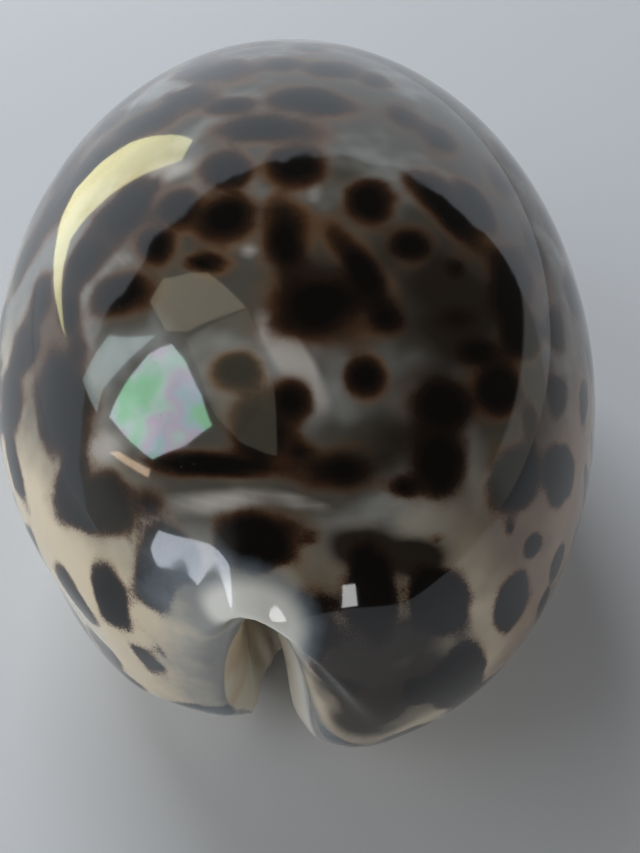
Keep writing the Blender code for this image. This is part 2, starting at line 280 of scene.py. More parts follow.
def side_angles(side):
    spread = np.linspace(-1, 1, SIDE_COLUMNS)
    spread = spread * (1 + END_CROWDING - END_CROWDING * spread ** 2)
    return np.where(spread < 0, rear_end(side), SIDE_END) * spread


def side_column(angle, side):
    along = math.sin(angle) / math.sin(rear_end(side) if angle < 0 else SIDE_END)
    plan_angle = turned(angle if side > 0 else math.pi - angle)
    lip_rear = OUTER_LIP_REAR if side > 0 else INNER_LIP_REAR
    lip_y = lip_rear + (SLIT_FRONT - lip_rear) * (along + 1) / 2
    half_width = SLIT_HALF_WIDTH * (1.0 + SLIT_END_WIDENING * along ** 6)
    lip = np.array([slit_middle(lip_y) + side * half_width, lip_y, LIP_HEIGHT])
    canal = smooth_step((abs(along) - CANAL_START) / (1.0 - CANAL_START))
    roof = REAR_CANAL_ROOF if along < 0 else FRONT_CANAL_ROOF
    out = np.array([side, 0.0, 0.0])
    return outer_rings(plan_angle, side) + lip_rings(plan_edge(plan_angle), lip, out, canal, roof)


print("columns on each side:", SIDE_COLUMNS)

# %% [markdown]
# The two notches
#
# At either end the slit climbs out of the base as a canal, and the dome bridges it with an arch. The rear
# one is the doorway in the photograph. It is given as four lines of points from foot to foot: the shoulder,
# where the dome starts to turn in, the rim, the edge of the opening, and the roof inside. Each line could
# be an arc, but the real doorway leans and is narrower than it is high, so its points are listed one by one.

# %% Lines of the rear notch
REAR_EDGE = np.array([
    (-10.6, -33.9, 2.4), (-10.4, -32.3, 7.4), (-10.0, -32.0, 15.0), (-7.9, -33.0, 23.0),
    (-6.8, -33.4, 18.4), (-6.9, -33.7, 9.2), (-7.8, -35.6, 2.4),
]) * MM
REAR_RIM = np.array([
    (-11.4, -35.1, 1.8), (-11.3, -33.7, 7.8), (-10.6, -33.8, 17.0), (-7.7, -35.3, 26.4),
    (-5.4, -36.0, 20.6), (-5.5, -37.0, 9.8), (-6.6, -38.4, 1.2),
]) * MM
REAR_SHOULDER = np.array([
    (-13.0, -35.8, 13.0), (-11.8, -35.5, 17.8), (-10.4, -35.9, 23.6), (-7.5, -36.8, 30.0),
    (-5.0, -38.4, 26.2), (-2.6, -41.0, 20.0), (-0.6, -43.0, 15.0),
]) * MM
REAR_ROOF = np.array([
    (-9.5, -30.4, 14.2), (-9.2, -29.9, 16.0), (-8.6, -29.4, 18.2), (-7.6, -29.2, 19.8),
    (-6.7, -30.0, 18.6), (-6.2, -31.4, 15.8), (-6.1, -32.6, 14.4),
]) * MM
REAR_INWARDS = np.array([0.60, 0.80, 0.0])
print("columns over the rear notch:", len(REAR_EDGE))

# %% Lines of the front notch
FRONT_EDGE = np.array([
    (2.9, 36.4, 2.6), (2.6, 36.5, 6.8), (0.0, 36.6, 10.8), (-2.7, 36.5, 6.8), (-3.1, 36.4, 2.6),
]) * MM
FRONT_RIM = np.array([
    (4.4, 37.7, 1.3), (4.4, 38.8, 7.6), (0.0, 39.2, 13.4), (-4.5, 38.8, 7.6), (-4.6, 37.7, 1.3),
]) * MM
FRONT_SHOULDER = np.array([
    (6.0, 42.0, 15.8), (3.2, 42.6, 17.4), (0.0, 42.8, 18.6), (-3.2, 42.6, 17.4), (-6.0, 42.0, 15.8),
]) * MM
FRONT_ROOF = np.array([
    (2.9, 34.6, 9.4), (2.2, 33.8, 10.4), (0.0, 33.4, 11.2), (-2.1, 33.8, 10.4), (-2.7, 34.6, 9.4),
]) * MM
FRONT_INWARDS = np.array([0.0, -1.0, 0.0])
print("columns over the front notch:", len(FRONT_EDGE))

# %% [markdown]
# From the lines to columns
#
# Every column of the net that meets a notch runs through one point of each line. Its rings are as many as
# those of a side column, so that the two kinds join. Above the doorway the dome is drawn down to a brow,
# and beside it the two lobes swell out.

# %% Columns over the notches
ARCH_PARTS = (0.22, 0.42, 0.60, 0.74, 0.86, 0.95, 1.0)
BROW_PULL = {5: (0.5, 0.0), 6: (0.65, 0.65)}  # ring: its share of the way to the shoulder, at arch and foot
BROW_LIFT = {5: 1.5 * MM, 6: 3.0 * MM}
LOBE_SWELL = 1.6 * MM
RIM_ROLL = 0.6
ROOF_RUN = 3.0 * MM
ROOF_RISE = 1.3 * MM


def notch_column(angle, shoulder, rim, edge, roof, inwards, top):
    foot = 1.0 - np.clip((edge[2] - LIP_HEIGHT) / (top - LIP_HEIGHT), 0.0, 1.0)
    column = [body_point(angle, math.radians(a)) for a in DOME_ANGLES[:-1]]
    for ring, (at_arch, at_foot) in BROW_PULL.items():
        pull = at_arch + (at_foot - at_arch) * foot
        column[ring] = column[ring] + (shoulder + UP * BROW_LIFT[ring] - column[ring]) * pull
    column.append(shoulder)
    down_and_out = -(inwards * 0.8 + UP * 0.6)
    for part in ARCH_PARTS:
        swell = 4.0 * part * (1.0 - part) * foot * LOBE_SWELL
        column.append(shoulder + (rim - shoulder) * part + down_and_out * swell)
    column.append(edge + (rim - edge) * RIM_ROLL)
    column.append(edge)
    column.append((edge + roof) / 2)
    column.append(roof)
    column.append(roof + inwards * ROOF_RUN + UP * ROOF_RISE)
    return column


def notch_angles(points, start, end):
    return np.linspace(start, end, len(points) + 2)[1:-1]


print("rings in a column:", len(DOME_ANGLES) + len(ARCH_PARTS) + 5)

# %% [markdown]
# The whole net and its lining
#
# A shell has thickness. A Solidify modifier would thicken it evenly, but a cowrie is thin on the back and
# very thick along the margin and base, so the rings of the lining are set in from the outer rings by a depth
# of their own. Above each notch the lining climbs straight from the canal's roof to stay inside the wall.

# %% Net of control points
MARGIN_WALL = 4.4 * MM
MARGIN_SHARES = (1.25, 1.0, 0.9, 0.72)
DOME_WALL = 2.2 * MM
LINING_RINGS = (9, 7, 6, 5, 4, 3, 2, 1, 0)  # the outer rings that the lining follows, from the base up
FLOOR_EDGE_RISE = 1.4 * MM
LAST_OUTER_RING = 19
ARCH_LINING = 4  # rings of the lining that climb straight up from a notch's roof


def outer_net():
    """Columns run from the outer lip's rear end forwards, over the front notch, and back again."""
    columns = [side_column(angle, 1) for angle in side_angles(1)]
    angles = notch_angles(FRONT_EDGE, SIDE_END, math.pi - SIDE_END)
    for angle, *points in zip(angles, FRONT_SHOULDER, FRONT_RIM, FRONT_EDGE, FRONT_ROOF):
        columns.append(notch_column(turned(angle), *points, FRONT_INWARDS, FRONT_EDGE[:, 2].max()))
    columns += [side_column(angle, -1) for angle in side_angles(-1)[::-1]]
    angles = notch_angles(REAR_EDGE, math.pi + INNER_REAR_END, 2 * math.pi - SIDE_END)
    for angle, *points in zip(angles, REAR_SHOULDER, REAR_RIM, REAR_EDGE, REAR_ROOF):
        columns.append(notch_column(turned(angle), *points, REAR_INWARDS, REAR_EDGE[:, 2].max()))
    return np.array(columns).transpose(1, 0, 2)


def outward_normals(points):
    around = np.roll(points, -1, axis=1) - np.roll(points, 1, axis=1)
    along = np.gradient(points, axis=0)
    normals = np.cross(along, around)
    return normals / np.maximum(np.linalg.norm(normals, axis=2, keepdims=True), 1e-12)


def notch_columns():
    front = SIDE_COLUMNS + np.arange(len(FRONT_EDGE))
    rear = 2 * SIDE_COLUMNS + len(FRONT_EDGE) + np.arange(len(REAR_EDGE))
    return np.concatenate([front, rear])


def whole_net():
    net = outer_net()
    normals = outward_normals(net)
    normals[0] = UP
    walls = [share * MARGIN_WALL for share in MARGIN_SHARES]
    walls += [DOME_WALL] * (len(LINING_RINGS) - len(walls))
    inside = np.array([net[ring] - normals[ring] * wall for ring, wall in zip(LINING_RINGS, walls)])
    inside[0, :, 2] = np.maximum(inside[0, :, 2], BASE_WALL + FLOOR_EDGE_RISE)
    arches = notch_columns()
    for ring in range(ARCH_LINING):
        part = (ring + 1) / (ARCH_LINING + 1)
        start, end = net[LAST_OUTER_RING, arches], inside[ARCH_LINING, arches]
        inside[ring, arches] = start * (1 - part) + end * part
    return np.concatenate([net, inside])


print("net of rings and columns:", whole_net().shape[:2])

# %% [markdown]
# A smooth surface through the net
#
# Blender's own NURBS surfaces would do, but their points can't carry teeth that come and go along an edge.
# A cubic B-spline is only four weights for each direction, so it is written out here. It gives the surface
# at any place in the net, as finely as wanted.

# %% Spline surface
def spline_weights(places):
    first = np.floor(places).astype(int)
    t = (places - first)[:, None]
    middle = [3 * t ** 3 - 6 * t ** 2 + 4, -3 * t ** 3 + 3 * t ** 2 + 3 * t + 1]
    return first - 1, np.hstack([(1 - t) ** 3, *middle, t ** 3]) / 6


def beyond_pole(pole, ring):
    """The ring next to a pole, carried across it to the far side."""
    return np.stack([2 * pole[:, 0] - ring[:, 0], 2 * pole[:, 1] - ring[:, 1], ring[:, 2]], axis=1)[None]


def surface(net, rings, columns):
    padded = np.concatenate([beyond_pole(net[0], net[1]), net, beyond_pole(net[-1], net[-2])])
    first, weights = spline_weights(rings)
    last = len(padded) - 1
    rows = sum(weights[:, k, None, None] * padded[np.clip(first + k + 1, 0, last)] for k in range(4))
    first, weights = spline_weights(columns)
    count = net.shape[1]
    return sum(weights[None, :, k, None] * rows[:, (first + k) % count] for k in range(4))


print("surface function ready")

# %% [markdown]
# Even columns
#
# The teeth have to come at even steps along the lips, but places in the net are crowded in some stretches.
# So the lip is walked once in many tiny steps, its length is measured on the way, and the columns are set
# where even lengths fall: so many of them for each tooth.

# %% Places of the columns
LIP_RING = 16
TEETH_A_SIDE = 24
FRONT_NOTCH_TEETH = 3  # how many teeth would fit over each notch
REAR_NOTCH_TEETH = 7
STEPS_A_STRETCH = 400


def column_places(net, step):
    """Places evenly spaced along each lip and over each notch, so many for each tooth."""
    side = SIDE_COLUMNS - 1
    back = side + len(FRONT_EDGE) + 1
    tooth = TEETH_A_SIDE * step
    stretches = (
        (0, side, tooth),
        (side, back, FRONT_NOTCH_TEETH * step),
        (back, back + side, tooth),
        (back + side, net.shape[1], REAR_NOTCH_TEETH * step),
    )
    spans = []
    for start, end, count in stretches:
        dense = np.linspace(start, end, STEPS_A_STRETCH)
        lip = surface(net, np.array([float(LIP_RING)]), dense)[0]
        length = np.concatenate([[0.0], np.cumsum(np.linalg.norm(np.diff(lip, axis=0), axis=1))])
        spans.append(np.interp(np.linspace(0, length[-1], count, endpoint=False), length, dense))
    return np.concatenate(spans)


def fitted(points, outside_rings):
    """The points stretched to the solid's own length, width and height, standing on the ground."""
    low = points[:outside_rings].min(axis=(0, 1))
    high = points[:outside_rings].max(axis=(0, 1))
    centre = (low + high) / 2 * (1, 1, 0)
    return (points - centre) * (WIDTH, LENGTH, HEIGHT) / (high - low) + (LOW + HIGH) / 2 * (1, 1, 0)


print("columns in a ring for each step of a tooth:", 2 * TEETH_A_SIDE + FRONT_NOTCH_TEETH + REAR_NOTCH_TEETH)

# %% [markdown]
# The teeth
#
# Both lips are ribbed with short teeth that fade out onto the base. They are part of the same enamel, so
# they are raised from the surface along its normals rather than set on as pieces: a cosine ridge for each
# tooth, held to the rings near the lip, and dying away towards the two ends.

# %% Raise the teeth
OUTER_TOOTH = 0.55 * MM
INNER_TOOTH = 0.45 * MM
TOOTH_FIRST_RING = 14.2
TOOTH_LAST_RING = 18.0
TOOTH_LAST_FADE = 1.2
TOOTH_FADE = 0.05


def tooth_heights(rings, step):
    along = np.arange(TEETH_A_SIDE * step) / (TEETH_A_SIDE * step)
    fade = smooth_step(np.minimum(along, 1 - along) / TOOTH_FADE)
    ridge = (0.5 - 0.5 * np.cos(2 * np.pi * TEETH_A_SIDE * along)) * fade
    front, rear = np.zeros(FRONT_NOTCH_TEETH * step), np.zeros(REAR_NOTCH_TEETH * step)
    heights = np.concatenate([ridge * OUTER_TOOTH, front, ridge * INNER_TOOTH, rear])
    reach = smooth_step(rings - TOOTH_FIRST_RING)
    reach = reach * smooth_step((TOOTH_LAST_RING - rings) / TOOTH_LAST_FADE)
    return reach[:, None] * heights[None, :]


print("teeth on each lip:", TEETH_A_SIDE)

# %% [markdown]
# The mesh
#
# A subdivision modifier could round a coarse mesh, but the spots below need a number at every fine point, so
# the surface is read from the net as finely as it is wanted. The rings lie closest on the back, where the
# reflections would show any facet.

# %% Build the mesh
LAST_RING = 28
FINE_COLUMNS_A_TOOTH = 8
FINE_RINGS = np.concatenate([
    np.linspace(0.0, 7.0, 92, endpoint=False),
    np.linspace(7.0, 14.0, 56, endpoint=False),
    np.linspace(14.0, 18.5, 34, endpoint=False),
    np.linspace(18.5, LAST_RING, 22),
])


def shell_points():
    net = whole_net()
    points = surface(net, FINE_RINGS, column_places(net, FINE_COLUMNS_A_TOOTH))
    points += outward_normals(points) * tooth_heights(FINE_RINGS, FINE_COLUMNS_A_TOOTH)[:, :, None]
    return fitted(points, int(np.searchsorted(FINE_RINGS, LIP_RING)))


def shell_piece(points):
    """One closed mesh: a point at the top, rings of quads, and a point on the ceiling of the hollow."""
    mesh = bmesh.new()
    top = mesh.verts.new(points[0, 0])
    rows = [[mesh.verts.new(p) for p in row] for row in points[1:-1]]
    ceiling = mesh.verts.new(points[-1, 0])
    count = len(rows[0])
    for j in range(count):
        following = (j + 1) % count
        mesh.faces.new((top, rows[0][j], rows[0][following]))
        for upper, lower in zip(rows, rows[1:]):
            mesh.faces.new((upper[j], lower[j], lower[following], upper[following]))
        mesh.faces.new((rows[-1][j], ceiling, rows[-1][following]))
    data = bpy.data.meshes.new("cowrie")
    mesh.to_mesh(data)
    mesh.free()
    data.shade_smooth()
    piece = bpy.data.objects.new("cowrie", data)
    bpy.context.scene.collection.objects.link(piece)
    return piece


POINTS = shell_points()
cowrie = shell_piece(POINTS)
print("faces:", len(cowrie.data.polygons))

# %% [markdown]
# Points of the surface
#
# The colours could be painted by hand on an image, but an image has to be unwrapped and has one fixed
# sharpness. Here every point of the mesh gets a few numbers instead, and the material turns them into colour
# and adds the fine grain itself. To put a thing where the photograph shows it, a ray goes from the eye
# through its pixel, and a search tree of the shell's faces says where the ray meets the shell.

# %% Points of the surface
SHELL_TREE = BVHTree.FromObject(cowrie, bpy.context.evaluated_depsgraph_get())
VERTS = np.array([v.co[:] for v in cowrie.data.vertices])
NORMALS = np.array([v.normal[:] for v in cowrie.data.vertices])
INNER_RINGS = np.repeat(FINE_RINGS[1:-1], POINTS.shape[1])
RING_OF_VERT = np.concatenate([[FINE_RINGS[0]], INNER_RINGS, [FINE_RINGS[-1]]])


def on_shell(pixel):
    """The point and normal of the shell behind a pixel, or None beside the shell."""
    place, normal, _, _ = SHELL_TREE.ray_cast(EYE, ray_through(pixel))
    return (place, normal) if place else None


def store(name, values):
    """Keeps one number for every point of the mesh, under a name that the material can read."""
    layer = cowrie.data.attributes.new(name, "FLOAT", "POINT")
    layer.data.foreach_set("value", np.ascontiguousarray(values, dtype=np.float32))


print("points of the mesh:", len(VERTS))

# %% [markdown]
# Round the notches
#
# The rim of each notch is white, and thick white enamel creeps from it over the spots. Both depend on how
# far a point is from the rim, so that is measured first. For the front notch the rim is a ring of the mesh,
# and for the rear one it is also the line that the photograph shows, which is given by pixels along it.

# %% Distances from the notches
RIM_RING = 15.2
RIM_IN_VIEW = (
    (222, 608), (228, 606), (236, 604), (245, 604), (255, 605), (264, 608), (271, 613), (276, 620),
    (279, 630), (285, 641), (291, 655), (295, 670), (297, 685), (299, 700), (303, 715), (309, 730),
)
SIDE_POINTS = TEETH_A_SIDE * FINE_COLUMNS_A_TOOTH
FRONT_POINTS = FRONT_NOTCH_TEETH * FINE_COLUMNS_A_TOOTH
REAR_POINTS = REAR_NOTCH_TEETH * FINE_COLUMNS_A_TOOTH


def distance_to_line(points, line):
    """Distance from every point to the nearest stretch of a line of points."""
    nearest = np.full(len(points), np.inf)
    for a, b in zip(line[:-1], line[1:]):
        t = np.clip((points - a) @ (b - a) / ((b - a) @ (b - a)), 0, 1)
        nearest = np.minimum(nearest, np.linalg.norm(points - a - t[:, None] * (b - a), axis=1))
    return nearest


def rim_line(first, count):
    """The drawn rim of a notch: the ring just outside the opening, over that notch's columns."""
    ring = int(np.searchsorted(FINE_RINGS, RIM_RING))
    return POINTS[ring, first:first + count]


REAR_DISTANCE = distance_to_line(VERTS, rim_line(2 * SIDE_POINTS + FRONT_POINTS, REAR_POINTS)) / MM
FRONT_DISTANCE = distance_to_line(VERTS, rim_line(SIDE_POINTS, FRONT_POINTS)) / MM
RIM_HITS = [on_shell(pixel) for pixel in RIM_IN_VIEW]
SEEN_RIM = np.array([hit[0][:] for hit in RIM_HITS if hit])
RIM_DISTANCE = np.minimum(distance_to_line(VERTS, SEEN_RIM) / MM, FRONT_DISTANCE)
print("points on the seen rim:", len(SEEN_RIM), "of", len(RIM_IN_VIEW))

# %% [markdown]
# Zones of colour
#
# Five zones are kept, each as a number from 0 outside it to 1 inside: the base with its lips, the canal and
# the hollow, the margin, the rim, and the white callus that runs out from the rim. A hard mask would leave a
# line round each, so every zone rises over a run of its own. The callus runs furthest on the left lobe and
# low down.

# %% Zones of the surface
NOTCH_WALL_NEAR = 12  # mm from the rear notch's rim
NOTCH_WALL_X = -8.0 * MM
CALLUS_SHORT, CALLUS_LONG = 3.5, 11.0


def rising(values, start, run):
    """0 up to start, 1 from a run further on, and a soft rise between."""
    return smooth_step((values - start) / run)


IN_SLIT = rising(RING_OF_VERT, 14.2, 1.4)
UNDERNEATH = rising(-NORMALS[:, 2], 0.2, 0.45)
BASE_ZONE = np.maximum(IN_SLIT, UNDERNEATH)
IN_NOTCH = (REAR_DISTANCE < NOTCH_WALL_NEAR) * (VERTS[:, 0] < NOTCH_WALL_X)
NOTCH_WALL = rising(NORMALS[:, 0], 0.60, 0.16) * IN_NOTCH
CANAL_ZONE = np.maximum(rising(RING_OF_VERT, 16.2, 1.5), NOTCH_WALL)
MARGIN_ZONE = rising(-VERTS[:, 2], -40.0 * MM, 20.0 * MM)
ON_LEFT_LOBE = rising(-VERTS[:, 0], 7.0 * MM, 4.0 * MM)
LOW_DOWN = rising(-VERTS[:, 2], -17.0 * MM, 8.0 * MM)
CALLUS_RUN = CALLUS_SHORT + (CALLUS_LONG - CALLUS_SHORT) * np.maximum(ON_LEFT_LOBE, LOW_DOWN)
store("base", BASE_ZONE)
store("canal", CANAL_ZONE)
store("margin", MARGIN_ZONE)
store("rim", 1 - rising(RIM_DISTANCE, 0.8, 1.7))
store("callus", 1 - rising(np.minimum(RIM_DISTANCE, REAR_DISTANCE), 1.2, CALLUS_RUN))
print("share of the surface in the base zone:", round(float((BASE_ZONE > 0.5).mean()), 2))

# %% [markdown]
# The spots that the photograph shows
#
# A spot is an ellipse on the enamel. Each one is set down by the pixel of its middle, its half lengths in
# pixels, and its tilt. A ray from the eye through that pixel finds the point on the shell, and the two half
# lengths are laid into the shell's own surface there, so near the outline a spot that looks thin comes out
# round, as it really is. The last number says how dark it is. A few thin ones along the left outline are
# partly painted shade, where the margin curls under.

# %% Spots in view
SPOTS_IN_VIEW = (
    # along the back, from the far side nearer
    (225, 170, 23, 17, 0, 1.0), (297, 163, 26, 20, 0, 1.0), (180, 206, 21, 18, 0, 1.0),
    (227, 217, 29, 21, 0, 1.0), (155, 246, 18, 18, 0, 1.0), (203, 263, 20, 9, 0, 0.9),
    (124, 213, 19, 42, 42, 1.0), (84, 262, 13, 34, 30, 1.0), (70, 318, 10, 34, -4, 0.9),
    (120, 294, 30, 18, -24, 1.0), (370, 202, 22, 20, 0, 1.0), (446, 206, 46, 15, 48, 1.0),
    (478, 208, 10, 30, -38, 1.0), (412, 245, 20, 17, 0, 1.0), (286, 236, 22, 36, -10, 0.95),
    (362, 270, 46, 17, 52, 1.0), (322, 306, 50, 32, 0, 1.0), (386, 318, 22, 18, 0, 0.9),
    (512, 292, 20, 46, -8, 1.0), (456, 268, 14, 14, 0, 0.75), (455, 318, 30, 22, 0, 0.7),
    (520, 336, 20, 22, 0, 1.0),
    # the middle of the back
    (235, 372, 21, 17, 0, 1.0), (262, 428, 28, 34, 0, 1.0), (290, 402, 20, 20, 0, 0.9),
    (365, 376, 18, 19, 0, 1.0), (478, 352, 22, 16, 0, 1.0), (497, 386, 22, 26, 0, 1.0),
    (440, 408, 29, 28, 0, 1.0), (438, 458, 28, 38, 8, 1.0), (338, 470, 42, 20, 0, 0.8),
    (215, 465, 66, 12, 4, 1.0), (404, 486, 18, 14, 0, 0.75), (300, 452, 20, 12, 0, 0.65),
    # the left side
    (62, 405, 26, 58, -4, 1.0), (26, 345, 14, 30, 10, 0.9), (10, 400, 15, 30, 6, 0.9),
    (74, 466, 12, 22, 0, 0.85), (88, 503, 44, 28, 10, 1.0), (148, 506, 13, 11, 0, 0.6),
    (155, 570, 22, 40, 0, 1.0), (170, 543, 19, 13, 0, 1.0), (186, 560, 16, 20, 0, 0.8),
    # the thin marks hugging the left outline in these lines are spots with painted shade, where the margin
    # curls under
    (110, 600, 15, 32, -18, 1.0), (14, 468, 8, 40, -14, 0.85),
    (160, 664, 13, 28, -10, 0.55), (140, 657, 6, 22, -30, 0.6),
    (74, 596, 8, 36, -34, 0.9), (34, 548, 7, 30, -26, 0.85),
    # above and right of the notch
    (256, 538, 42, 26, 4, 1.0), (232, 550, 20, 16, -30, 0.7), (256, 566, 28, 16, 0, 0.5),
    (312, 538, 16, 9, 0, 0.55), (372, 600, 27, 50, -6, 1.0), (438, 603, 29, 33, 0, 1.0),
    (418, 694, 16, 14, 0, 0.95),
    (462, 683, 23, 31, 30, 1.0), (514, 603, 14, 28, 20, 1.0), (543, 604, 7, 18, 22, 0.9),
    (533, 546, 8, 15, 24, 0.9), (557, 564, 7, 19, 18, 0.9), (510, 528, 7, 13, 10, 0.6),
    (434, 541, 13, 7, -30, 0.55),
    # the right side
    (516, 482, 22, 33, 12, 1.0), (561, 478, 13, 32, 4, 1.0), (586, 488, 6, 20, 4, 0.9),
    (558, 396, 11, 28, 0, 0.75), (530, 420, 9, 20, 0, 0.7), (584, 404, 6, 22, 0, 0.8),
    (592, 448, 4, 18, 0, 0.8), (576, 534, 6, 20, 16, 0.8), (556, 330, 10, 30, -8, 0.7),
    # the far side, seen at a glance along it
    (264, 128, 46, 13, 0, 0.9), (216, 71, 36, 12, -10, 0.9), (184, 99, 30, 11, -14, 0.9),
    (143, 124, 34, 11, -26, 0.9), (300, 99, 34, 11, 0, 0.9), (284, 64, 24, 8, 0, 0.8),
    (230, 106, 26, 9, -6, 0.9), (335, 69, 28, 9, 4, 0.9), (376, 80, 16, 8, 14, 0.8),
    (320, 102, 36, 12, 4, 0.8), (404, 118, 26, 12, 26, 0.7), (440, 140, 20, 14, 40, 0.7),
    (98, 160, 12, 36, 44, 0.9), (56, 206, 12, 36, 32, 0.9), (26, 256, 10, 34, 24, 0.9),
    (40, 300, 10, 26, 14, 0.8), (500, 180, 26, 10, 52, 0.7), (536, 250, 34, 10, 64, 0.7),
)
print("spots read from the photograph:", len(SPOTS_IN_VIEW))

# %% [markdown]
# The clouds between the spots
#
# The enamel between the spots isn't even. Older spots lie deep under it and show as brown smoke, and here
# and there it is clear and pale. Some clouds are painted light: the dark ones low on the right lobe are
# painted shade, where the lobe is turned from the light, and the pale ones in a band above the notch are a
# painted reflection. One noise for the whole back would put these by chance, so the ones that the photograph
# shows are set down as soft ellipses in the same way. Dark ones count up, and pale ones, with a minus, count
# down.

# %% Clouds in view
CLOUDS_IN_VIEW = (
    # dark clouds: brown smoke in the enamel, and low on the right lobe painted shade
    (465, 320, 62, 70, 0, 0.75), (330, 285, 66, 60, 0, 0.60), (430, 235, 70, 44, 30, 0.30),
    (425, 440, 60, 60, 0, 0.55), (285, 225, 34, 50, 0, 0.45), (205, 240, 44, 44, 0, 0.30),
    (345, 470, 66, 34, 0, 0.45), (368, 604, 60, 64, 0, 0.60), (392, 700, 84, 56, 0, 0.70),
    (545, 470, 60, 80, 0, 0.30), (215, 468, 90, 18, 0, 0.35), (262, 545, 60, 34, 0, 0.25),
    (440, 650, 40, 40, 0, 0.40), (400, 300, 110, 100, 0, 0.28), (490, 560, 70, 60, 0, 0.18),
    (345, 715, 50, 50, 0, 0.50), (362, 545, 44, 24, 0, 0.60),
    (425, 556, 30, 20, 0, 0.55), (535, 565, 60, 90, 0, 0.16),
    # pale clouds: clear enamel, and in a band above the notch a painted reflection
    (288, 350, 20, 52, -32, -1.3), (322, 402, 20, 18, 0, -0.15), (312, 196, 16, 26, 0, -0.35),
    (125, 260, 22, 14, 0, -0.25), (250, 250, 22, 16, 0, -0.50), (222, 502, 66, 17, -6, -0.48),
    (312, 505, 50, 12, 12, -0.36), (392, 497, 34, 10, -35, -0.42),
    (168, 172, 40, 14, -20, -0.50), (100, 446, 26, 18, 0, -0.60),
    (345, 232, 20, 14, 0, -0.20), (152, 524, 24, 10, 0, -0.40),
)
print("clouds read from the photograph:", len(CLOUDS_IN_VIEW))

# %% [markdown]
# From the photograph to the shell
#
# Near the outline the shell turns away, and an ellipse there would be laid out endlessly long. So no half
# length gets more than two and a half times as long as it looks.

# %% Lay the spots on the shell
MOST_STRETCH = 2.5


def on_plane(pixel, place, normal):
    """Where the ray through a pixel meets the plane that touches the shell at place."""
    ray = ray_through(pixel)
    return EYE + ray * ((place - EYE).dot(normal) / ray.dot(normal))


def half_length(place, normal, pixel, offset):
    """A half length of a spot, laid into the shell's surface."""
    reach = on_plane((pixel[0] + offset[0], pixel[1] + offset[1]), place, normal) - place
    seen = math.hypot(*offset) / FOCAL_PIXELS * (place - EYE).length
    return reach * min(1.0, MOST_STRETCH * seen / reach.length)


def laid_on_shell(ellipses):
    """Each ellipse as its middle, normal, two half lengths and strength."""
    laid = []
    for x, y, wide, high, tilt, strength in ellipses:
        hit = on_shell((x, y))
        if hit is None:
            print("an ellipse misses the shell:", (x, y))
            continue
        turn = math.radians(tilt)
        across = (wide * math.cos(turn), wide * math.sin(turn))
        down = (-high * math.sin(turn), high * math.cos(turn))
        laid.append((*hit, half_length(*hit, (x, y), across), half_length(*hit, (x, y), down), strength))
    return laid


SEEN = laid_on_shell(SPOTS_IN_VIEW)
print("spots in view:", len(SEEN))

# %% [markdown]
# The spots on the far side
#
# Most of the shell is out of the photograph. Its spots are scattered by chance, with a fixed seed so that
# they fall the same way every time. A candidate is dropped if it lies too near another spot, which keeps
# them apart the way the real ones are, and now and then two are allowed to run together.

# %% Spots out of view
SEED = 8
CANDIDATES = 5200
SPOT_RADIUS = (1.7 * MM, 3.6 * MM)
SPOT_GAP = 1.36
TOUCHING_SHARE = 0.16  # the share of candidates that may touch another spot
TOUCHING_GAP = 0.95
SPOT_STRETCH = (1.0, 1.5)
SPOT_DARKNESS = (0.75, 1.0)
MARGIN_SHRINK = 0.2
LOWEST_SPOT_RING = 9.6
FEW_BELOW = 9 * MM  # the height under which spots are few
LOW_DROPPED = 0.6
HIDDEN_BELOW = 0.17  # facing of the surface to the camera, under which the photograph shows nothing
LEFT_EDGE = -12  # the pixel column left of which a point counts as out of the photograph


def facing(place, normal):
    return (EYE - place).normalized().dot(normal)


def in_view(place, normal):
    """True where the photograph shows this part of the shell."""
    ray = place - EYE
    depth = -ray.dot(BACK)
    x = ray.dot(RIGHT) / depth * FOCAL_PIXELS + PHOTO_WIDTH / 2
    return x > LEFT_EDGE and facing(place, normal) > HIDDEN_BELOW


def spots_out_of_view(seen):
    chance = random.Random(SEED)
    outside = [i for i in range(len(VERTS)) if RING_OF_VERT[i] < LOWEST_SPOT_RING]
    taken = [(place, (a.length + b.length) / 2) for place, _, a, b, _ in seen]
    spots = []
    for _ in range(CANDIDATES):
        i = chance.choice(outside)
        place, normal = Vector(VERTS[i]), Vector(NORMALS[i])
        size = chance.uniform(*SPOT_RADIUS) * (1.0 - MARGIN_SHRINK * MARGIN_ZONE[i])
        stretch = chance.uniform(*SPOT_STRETCH)
        turn = chance.uniform(0, math.pi)
        keep = chance.random()
        if in_view(place, normal) or (VERTS[i][2] < FEW_BELOW and keep < LOW_DROPPED):
            continue
        apart = SPOT_GAP if keep > TOUCHING_SHARE else TOUCHING_GAP
        if any((place - other).length < (size + radius) * apart for other, radius in taken):
            continue
        first = normal.orthogonal().normalized()
        second = normal.cross(first)
        a = (first * math.cos(turn) + second * math.sin(turn)) * size * stretch
        b = (second * math.cos(turn) - first * math.sin(turn)) * size
        taken.append((place, size))
        spots.append((place, normal, a, b, chance.uniform(*SPOT_DARKNESS)))
    return spots


UNSEEN = spots_out_of_view(SEEN)
print("spots out of view:", len(UNSEEN))

# %% [markdown]
# From spots to one value at each point
#
# A real spot has a wavy edge and its dark middle fades through brown to the pale ground. So the value stored
# is not a mask but a hill: high in the middle and falling evenly outwards, with the outline bent by a slow
# noise. Where two hills meet the higher one wins, and because they add a little there, near spots run
# together. The material decides later where on the slope each colour starts.

# %% Spot values
WAVE_SIZE = 2.6 * MM
WAVE_DEPTH = 0.30
HILL_FOOT = 1.9  # how many half lengths from its middle a spot's hill has fallen to nothing
NEARLY_FACING = 0.25  # the least cosine between the normal of a point and that of a spot that reaches it
RUN_TOGETHER = 0.97
WAVE_ROOM = 0.4  # how much further out the wave may bend an outline
CLOUD_REACH = 1.6
CLOUD_FALL = 1.4


def wave_at(points):
    """A slow noise over the surface, one number for each point."""
    return np.array([noise.noise(Vector(p) / WAVE_SIZE) for p in points])


